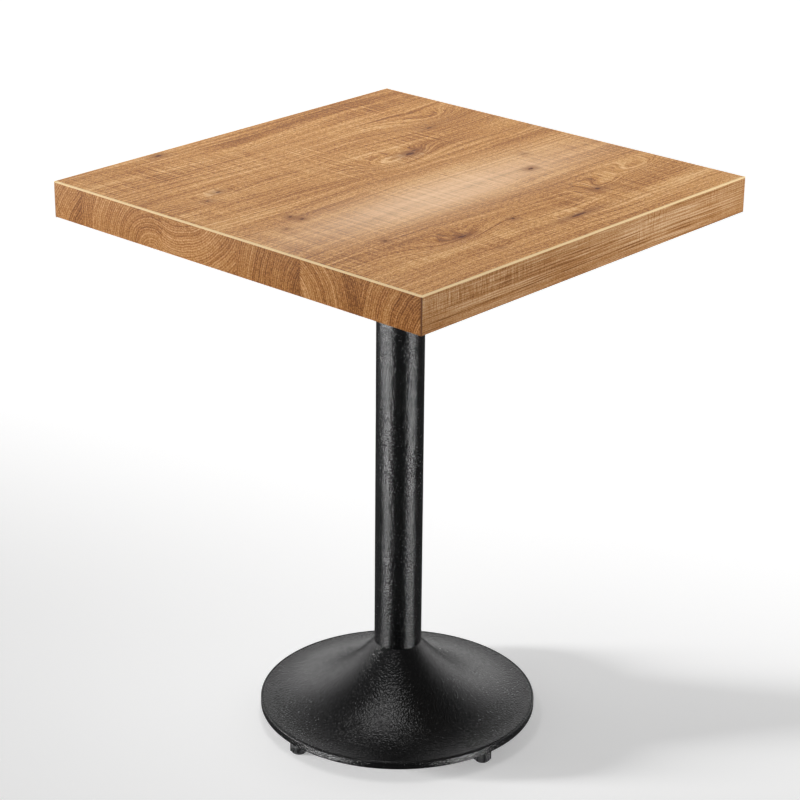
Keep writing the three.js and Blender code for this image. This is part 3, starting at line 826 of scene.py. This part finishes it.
def flare_height(radius):
    """Height of the cover's outside at a radius."""
    fall = (LIP_R - radius) / FLARE_RUN
    return COVER_LIP_Z + FLARE_RISE * fall ** FLARE_POWER


def flare_slope(radius):
    """How steeply the cover falls at a radius."""
    fall = (LIP_R - radius) / FLARE_RUN
    return FLARE_POWER * FLARE_RISE / FLARE_RUN * fall ** (FLARE_POWER - 1)


def add_cover():
    """Flared sheet from the column to the lip, with its inside a sheet's thickness below."""
    lip_round = 1.3 * MM
    shares = [(i / FLARE_STEPS) ** FLARE_CROWDING for i in range(FLARE_STEPS + 1)]
    radii = [COLUMN_R + FLARE_RUN * share for share in shares]
    outside = [(r, flare_height(r)) for r in radii[:-1]]
    outside += arc(LIP_R - lip_round, COVER_LIP_Z - lip_round, lip_round, 90, 0, 3)
    neck_z = cover_high.z - COVER_SHEET
    inside = []
    for r in radii[::3]:
        slope = math.atan(flare_slope(r))
        height = flare_height(r) - COVER_SHEET * math.cos(slope)
        if height < neck_z:
            inside.append((r - COVER_SHEET * math.sin(slope), height))
    bore = COLUMN_R - COLUMN_WALL
    neck = [(COLUMN_R - COVER_SHEET + GAP, neck_z), (bore, neck_z)]
    bm = bmesh.new()
    revolve(bm, [(bore, cover_high.z)] + outside + inside[::-1] + neck, COVER_SEGMENTS)
    new_piece("trumpet_cover_fine", bm, "table", "black_powder_coat", ["trumpet_cover"])


def add_column():
    """Tube with its outer edges broken."""
    edge = 0.6 * MM
    low, high = column_low.z, column_high.z
    bore = COLUMN_R - COLUMN_WALL
    outline = (
        [(bore, low)] + arc(COLUMN_R - edge, low + edge, edge, -90, 0)
        + arc(COLUMN_R - edge, high - edge, edge, 0, 90) + [(bore, high)]
    )
    bm = bmesh.new()
    revolve(bm, outline, COLUMN_SEGMENTS)
    new_piece("column_tube_fine", bm, "table", "black_powder_coat", ["column_tube"])


def add_base_plate():
    """Turned disc: a raised ring around the cover's lip, countersinks and insert holes."""
    low, high = plate_low.z, plate_high.z
    deck = cover_low.z  # the cover rests on it, inside the ring
    ring_r = BASE_R - RIM_RING
    inner_break = 0.7 * MM
    under_step = 40 * MM  # an extra ring of points this far in holds the flat underside's shading
    outline = (
        [(0, low), (BASE_R - RIM_ROUND - under_step, low)]
        + arc(BASE_R - RIM_ROUND, low + RIM_ROUND, RIM_ROUND, -90, 0, 6)
        + arc(BASE_R - RIM_ROUND, high - RIM_ROUND, RIM_ROUND, 0, 90, 8)
        + arc(ring_r + inner_break, high - inner_break, inner_break, 90, 180, 3)
        + [(ring_r, deck), (0, deck)]
    )
    bm = bmesh.new()
    revolve(bm, outline, BASE_SEGMENTS)
    holes = bmesh.new()
    bolt, mouth = SOCKET_BOLT_R + GAP, SOCKET_HEAD_R + GAP + MM
    cone = [(0, low - MM), (mouth, low - MM), (bolt, low + SOCKET_HEAD), (bolt, deck + MM)]
    for number in SOCKET_SCREWS:
        at = axis_of(f"socket_screw_{number}")
        revolve(holes, cone + [(0, deck + MM)], HOLE_SEGMENTS, at)
    insert_hole = hole_outline(INSERT_R + GAP, low, deck)
    for number in GLIDES:
        revolve(holes, insert_hole, HOLE_SEGMENTS, axis_of(f"glide_{number}_insert"))
    new_piece("base_plate_fine", bm, "table", "black_powder_coat", ["base_plate"], holes)


def hexagon_recess(recess_r):
    """Shape of a hexagon socket: rings inside recess_r get flats, the rest stay round."""
    def shape(radius, angle, height):
        if radius > recess_r:
            return radius
        sixth = math.pi / 3
        return radius * math.cos(sixth / 2) / math.cos(angle % sixth - sixth / 2)
    return shape


def add_socket_screws():
    """Countersunk screws with a hexagon socket, seen from below."""
    recess_r = 2.9 * MM
    recess_depth = 2.6 * MM
    mouth_break = 0.2 * MM
    tip_break = 0.8 * MM
    for number in SOCKET_SCREWS:
        node = f"socket_screw_{number}"
        low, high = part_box(node)
        foot = low.z
        recess_top = foot + recess_depth
        outline = [
            (0, recess_top),
            (recess_r * 0.98, recess_top),
            (recess_r, foot + mouth_break),
            (recess_r * 1.1, foot),
            (SOCKET_HEAD_R - 0.4 * MM, foot),
            (SOCKET_HEAD_R - 0.1 * MM, foot + mouth_break),
            (SOCKET_BOLT_R, foot + SOCKET_HEAD),
            (SOCKET_BOLT_R, high.z - tip_break),
            (SOCKET_BOLT_R - tip_break, high.z),
            (0, high.z),
        ]
        bm = bmesh.new()
        revolve(bm, outline, SCREW_SEGMENTS, axis_of(node), hexagon_recess(recess_r * 1.01))
        new_piece(node + "_fine", bm, "table", "zinc_steel", [node])


# ---- Levelling glides ----

THREAD_DEPTH = 0.55 * MM
THREAD_ROWS = 60
STUD_CHAMFER = 0.8 * MM
GLIDE_BREAK = 0.4 * MM  # broken edges of the insert and the sole's pivot
KNOB_ROUND = 0.9 * MM
SOLE_PAD = 2.5 * MM
SOLE_ROUND = 0.7 * MM
SOLE_CHAMFER = 1.0 * MM
INSERT_SEGMENTS = 40
STUD_SEGMENTS = 32
FLUTE_SEGMENTS = 10
SOLE_SEGMENTS = 64


def threaded(radius, angle, height):
    """Helical thread: a ridge that climbs one pitch per turn. Chamfer and tip rings stay plain."""
    if radius <= STUD_R - 0.5 * MM:
        return radius
    phase = (height / THREAD_PITCH - angle / (2 * math.pi)) % 1
    return radius - THREAD_DEPTH * abs(2 * phase - 1)


def fluted(radius, angle, height):
    """Grip flutes on the knob's outside."""
    if radius < PIVOT_R + MM:
        return radius
    return radius - FLUTE_DEPTH * (1 - math.cos(KNOB_FLUTES * angle)) / 2


def add_insert(node, at):
    """Threaded insert, a plain ring with a broken lower edge."""
    low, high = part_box(node)
    bore = STUD_R + GAP
    outline = (
        [(bore, low.z + GLIDE_BREAK), (bore + GLIDE_BREAK, low.z)]
        + arc(INSERT_R - GLIDE_BREAK, low.z + GLIDE_BREAK, GLIDE_BREAK, -90, 0, 2)
        + [(INSERT_R, high.z), (bore, high.z)]
    )
    bm = bmesh.new()
    revolve(bm, outline, INSERT_SEGMENTS, at)
    new_piece(node + "_fine", bm, "table", "zinc_steel", [node])


def add_stud(node, at, body):
    """Threaded stud with plain ends."""
    low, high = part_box(node)
    tip_r = STUD_R - STUD_CHAMFER
    thread_low = low.z + 0.5 * MM
    thread_long = high.z - low.z - MM
    heights = [thread_low + thread_long * i / THREAD_ROWS for i in range(THREAD_ROWS + 1)]
    outline = (
        [(0, low.z), (tip_r, low.z)] + [(STUD_R, z) for z in heights]
        + [(tip_r, high.z), (0, high.z)]
    )
    bm = bmesh.new()
    revolve(bm, outline, STUD_SEGMENTS, at, threaded)
    new_piece(node + "_fine", bm, body, "zinc_steel", [node])


def add_knob(node, at, body, stud_low, pivot_top):
    """Fluted knob: the stud stands in it from above, and the sole's pivot from below."""
    low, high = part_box(node)
    knob_r = (high.y - low.y) / 2
    bore, floor_z = STUD_R + GAP, stud_low - GAP
    pivot_bore, roof_z = PIVOT_R + GAP, pivot_top + GAP
    outline = (
        [(0, roof_z), (pivot_bore, roof_z), (pivot_bore, low.z)]
        + arc(knob_r - KNOB_ROUND, low.z + KNOB_ROUND, KNOB_ROUND, -90, 0)
        + arc(knob_r - KNOB_ROUND, high.z - KNOB_ROUND, KNOB_ROUND, 0, 90)
        + [(bore, high.z), (bore, floor_z), (0, floor_z)]
    )
    bm = bmesh.new()
    revolve(bm, outline, KNOB_FLUTES * FLUTE_SEGMENTS, at, fluted)
    new_piece(node + "_fine", bm, body, "black_nylon", [node])


def add_sole(node, at, body):
    """Round pad with a pivot on top."""
    low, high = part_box(node)
    sole_r = (high.x - low.x) / 2
    pad_top = low.z + SOLE_PAD
    outline = (
        [(0, low.z), (sole_r - SOLE_CHAMFER, low.z), (sole_r, low.z + SOLE_CHAMFER)]
        + arc(sole_r - SOLE_ROUND, pad_top - SOLE_ROUND, SOLE_ROUND, 0, 90, 3)
        + [(PIVOT_R, pad_top), (PIVOT_R, high.z - GLIDE_BREAK)]
        + [(PIVOT_R - GLIDE_BREAK, high.z), (0, high.z)]
    )
    bm = bmesh.new()
    revolve(bm, outline, SOLE_SEGMENTS, at)
    new_piece(node + "_fine", bm, body, "grey_sole", [node])


def add_glide(number):
    """Insert in the base plate, stud and knob that turn, and a sole that only rises and falls."""
    glide = f"glide_{number}"
    adjuster = glide + "_adjuster"
    stud, sole = glide + "_stud", glide + "_sole"
    at = axis_of(sole)
    add_insert(glide + "_insert", at)
    add_stud(stud, at, adjuster)
    add_knob(glide + "_knob", at, adjuster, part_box(stud)[0].z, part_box(sole)[1].z)
    add_sole(sole, at, glide + "_foot")


# ---- The pieces ----

slots = {entry["node"]: entry["material_slot"] for entry in frame["record"]["subparts"]}
for node, piece in frame["nodes"].items():
    piece.data.materials.clear()
    piece.data.materials.append(MATERIALS[slots[node]])

add_bands()
add_mounting_plate()
add_wood_screws()
add_column()
add_cover()
add_base_plate()
add_socket_screws()
for number in GLIDES:
    add_glide(number)

# ---- Floor, lights and world ----

FLOOR_R = 60
FLOOR_SEGMENTS = 96
FLOOR_ALBEDO = 0.8
FLOOR_GLOW = 0.252  # the least of the floor's own light, found near the camera
FLOOR_GLOW_RISES = (  # direction, where the rise starts and ends along it, how much
    (TOWARD_CAMERA - 0.76 * IMAGE_RIGHT, 0.85, -1.10, 0.240),
    (TOWARD_CAMERA - 0.35 * IMAGE_RIGHT, -0.05, -0.95, 0.115),
    (IMAGE_RIGHT, 1.00, -1.00, 0.030),
)
ROOM = 0.12  # strength of the world above the horizon, away from the backdrop
BACKDROP = 1.42  # strength of the backdrop
DARK = 0.09  # strength of the world below the horizon, between the strips
STRIPS = 64.0  # strength of the two bright strips below the horizon
LEFT_STRIP_EXTRA = 0.15  # how much stronger the left strip is, as a share
STRIP_TOP_SHARE = 0.08  # strength of a strip's upper part, as a share
# Lights: (turn from the camera's direction in degrees, distance, height), height aimed at, size,
# power in watts.
LEFT_LIGHT = ((-88, 3.2, 0.55), 0.4, (0.8, 0.9), 86)
RIGHT_LIGHT = ((75, 1.8, 0.9), 0.5, (0.55, 1.0), 19)
TOP_LIGHT = ((-150, 1.2, 2.9), 0.7, (2.4, 2.4), 60)
# The low sun's direction: its turn from the camera's in degrees, and its rise over one metre.
SUN_TURN = -89
SUN_RISE = 0.11
SUN_STRENGTH = 8.4
SUN_ANGLE = math.radians(8.0)
FILL_POWER = 0.75
FILL_SIZE = (0.12, 0.28)
FILL_PLACE = TOWARD_CAMERA * 0.08 - IMAGE_RIGHT * 0.12 + Vector((0, 0, 0.69))


def add_floor():
    """Wide pale floor; a painted glow whitens it away from the camera, as on a lit backdrop."""
    bm = bmesh.new()
    bmesh.ops.create_circle(bm, cap_ends=True, radius=FLOOR_R, segments=FLOOR_SEGMENTS)
    mesh = bpy.data.meshes.new("floor")
    bm.to_mesh(mesh)
    bm.free()
    s = Shader("floor", Roughness=0.9, Specular_IOR_Level=0.0)
    s.surface.inputs["Base Color"].default_value = (FLOOR_ALBEDO, FLOOR_ALBEDO, FLOOR_ALBEDO, 1)
    s.surface.inputs["Emission Color"].default_value = (1, 1, 1, 1)
    x, y, _ = s.axes()
    glow = FLOOR_GLOW
    for tilted, start, end, rise in FLOOR_GLOW_RISES:
        along = s.add(s.times(x, tilted.x), s.times(y, tilted.y))
        glow = s.add(glow, s.times(s.step(along, start, end), rise))
    s.feed(s.surface.inputs["Emission Strength"], glow)
    mesh.materials.append(s.material)
    floor = link(bpy.data.objects.new("floor", mesh))
    floor.visible_glossy = False
    return floor


def add_softbox(name, place, aim, size, power):
    """Rectangular light that the camera doesn't see."""
    data = bpy.data.lights.new(name, "AREA")
    data.shape = "RECTANGLE"
    data.size, data.size_y = size
    data.energy = power
    light = link(bpy.data.objects.new(name, data))
    light.location = place
    light.rotation_euler = (Vector(place) - Vector(aim)).to_track_quat("Z", "Y").to_euler()
    light.visible_camera = False
    return light


def light_only(light, things, state):
    """Limits what a light falls on: INCLUDE lights only the things, EXCLUDE all but them."""
    group = bpy.data.collections.new(light.name + "_falls_on")
    for i, thing in enumerate(things):
        group.objects.link(thing)
        group.collection_objects[i].light_linking.link_state = state
    light.light_linking.receiver_collection = group


def around(turn_deg, distance, height):
    """Place at a turn from the camera's direction, positive to the image's right."""
    turn = math.radians(turn_deg)
    flat = TOWARD_CAMERA * math.cos(turn) + IMAGE_RIGHT * math.sin(turn)
    return flat * distance + Vector((0, 0, height))


class WorldShader(Shader):
    """The same helper for the world's nodes, with directions in place of positions."""

    def __init__(self, world):
        self.tree = world.node_tree
        self.place = self.node("ShaderNodeTexCoord").outputs["Generated"]

    def along(self, direction):
        inputs = {0: self.place, 1: tuple(direction)}
        return self.node("ShaderNodeVectorMath", inputs, operation="DOT_PRODUCT").outputs["Value"]


def add_world():
    """White backdrop behind the table and a dim room around it.

    The glossy coat doesn't mirror the floor: below the horizon it mirrors two soft upright strips
    in a dark surround, as it would over a dark studio floor.
    """
    world = bpy.data.worlds.new("world")
    world.use_nodes = True
    world.cycles.sampling_method = "NONE"
    bpy.context.scene.world = world
    s = WorldShader(world)
    z = s.axes()[2]
    toward = s.along(TOWARD_CAMERA)
    aside = s.along(IMAGE_RIGHT)
    flat_square = s.math("MAXIMUM", s.math("SUBTRACT", 1.0, s.times(z, z)), 0.0001)
    turn_cos = s.math("DIVIDE", toward, s.math("SQRT", flat_square))

    # Above the horizon: the backdrop, then the room. Below it: the strips, by turn and height.
    behind = s.times(s.step(toward, 0.25, -0.45), s.step(z, 0.66, 0.15))
    above = s.add(ROOM, s.times(behind, BACKDROP - ROOM))
    strip = s.times(s.step(turn_cos, 0.32, 0.51), s.step(turn_cos, 0.71, 0.56))
    bright = s.times(s.step(z, -0.315, -0.385), 1 - STRIP_TOP_SHARE)
    bright_belt = s.add(STRIP_TOP_SHARE, bright)
    strip = s.times(strip, s.step(z, -0.465, -0.375), bright_belt)
    left = s.step(aside, 0.05, -0.05)
    power = s.add(STRIPS, s.times(left, LEFT_STRIP_EXTRA * STRIPS))
    below = s.add(DARK, s.times(strip, power))
    split = s.step(z, -0.03, 0.0)
    strength = s.add(s.times(split, above), s.times(s.math("SUBTRACT", 1.0, split), below))
    seen = s.node("ShaderNodeLightPath").outputs["Is Camera Ray"]
    background = s.tree.nodes["Background"]
    background.inputs["Color"].default_value = (1, 1, 1, 1)
    s.feed(background.inputs["Strength"], s.math("MAXIMUM", strength, seen))


def add_lights(floor):
    """Softboxes for the wood and the coat, and a low sun that only the floor sees."""
    wood = [o for o in bpy.data.objects if o.name == "tabletop_laminate" or "_band_" in o.name]
    softboxes = (
        ("left_softbox", LEFT_LIGHT, [floor], "EXCLUDE"),
        ("right_softbox", RIGHT_LIGHT, wood, "INCLUDE"),
        ("top_softbox", TOP_LIGHT, wood, "INCLUDE"),
    )
    for name, (place, aim_z, size, power), things, state in softboxes:
        light = add_softbox(name, around(*place), (0, 0, aim_z), size, power)
        light_only(light, things, state)

    # A low far light casts the base's long soft shadow to the right.
    data = bpy.data.lights.new("low_light", "SUN")
    data.energy = SUN_STRENGTH
    data.angle = SUN_ANGLE
    sun = link(bpy.data.objects.new("low_light", data))
    sun.rotation_euler = around(SUN_TURN, 1.0, SUN_RISE).to_track_quat("Z", "Y").to_euler()
    light_only(sun, [floor], "INCLUDE")

    # A small light under the top, long side toward the camera, makes the flare's coat glitter.
    below = FILL_PLACE - Vector((0, 0, 1))
    fill = add_softbox("under_top_light", FILL_PLACE, below, FILL_SIZE, FILL_POWER)
    fill.rotation_euler = (0, 0, VIEW_AZIMUTH)


add_world()
add_lights(add_floor())
bpy.context.scene.view_settings.view_transform = "Standard"
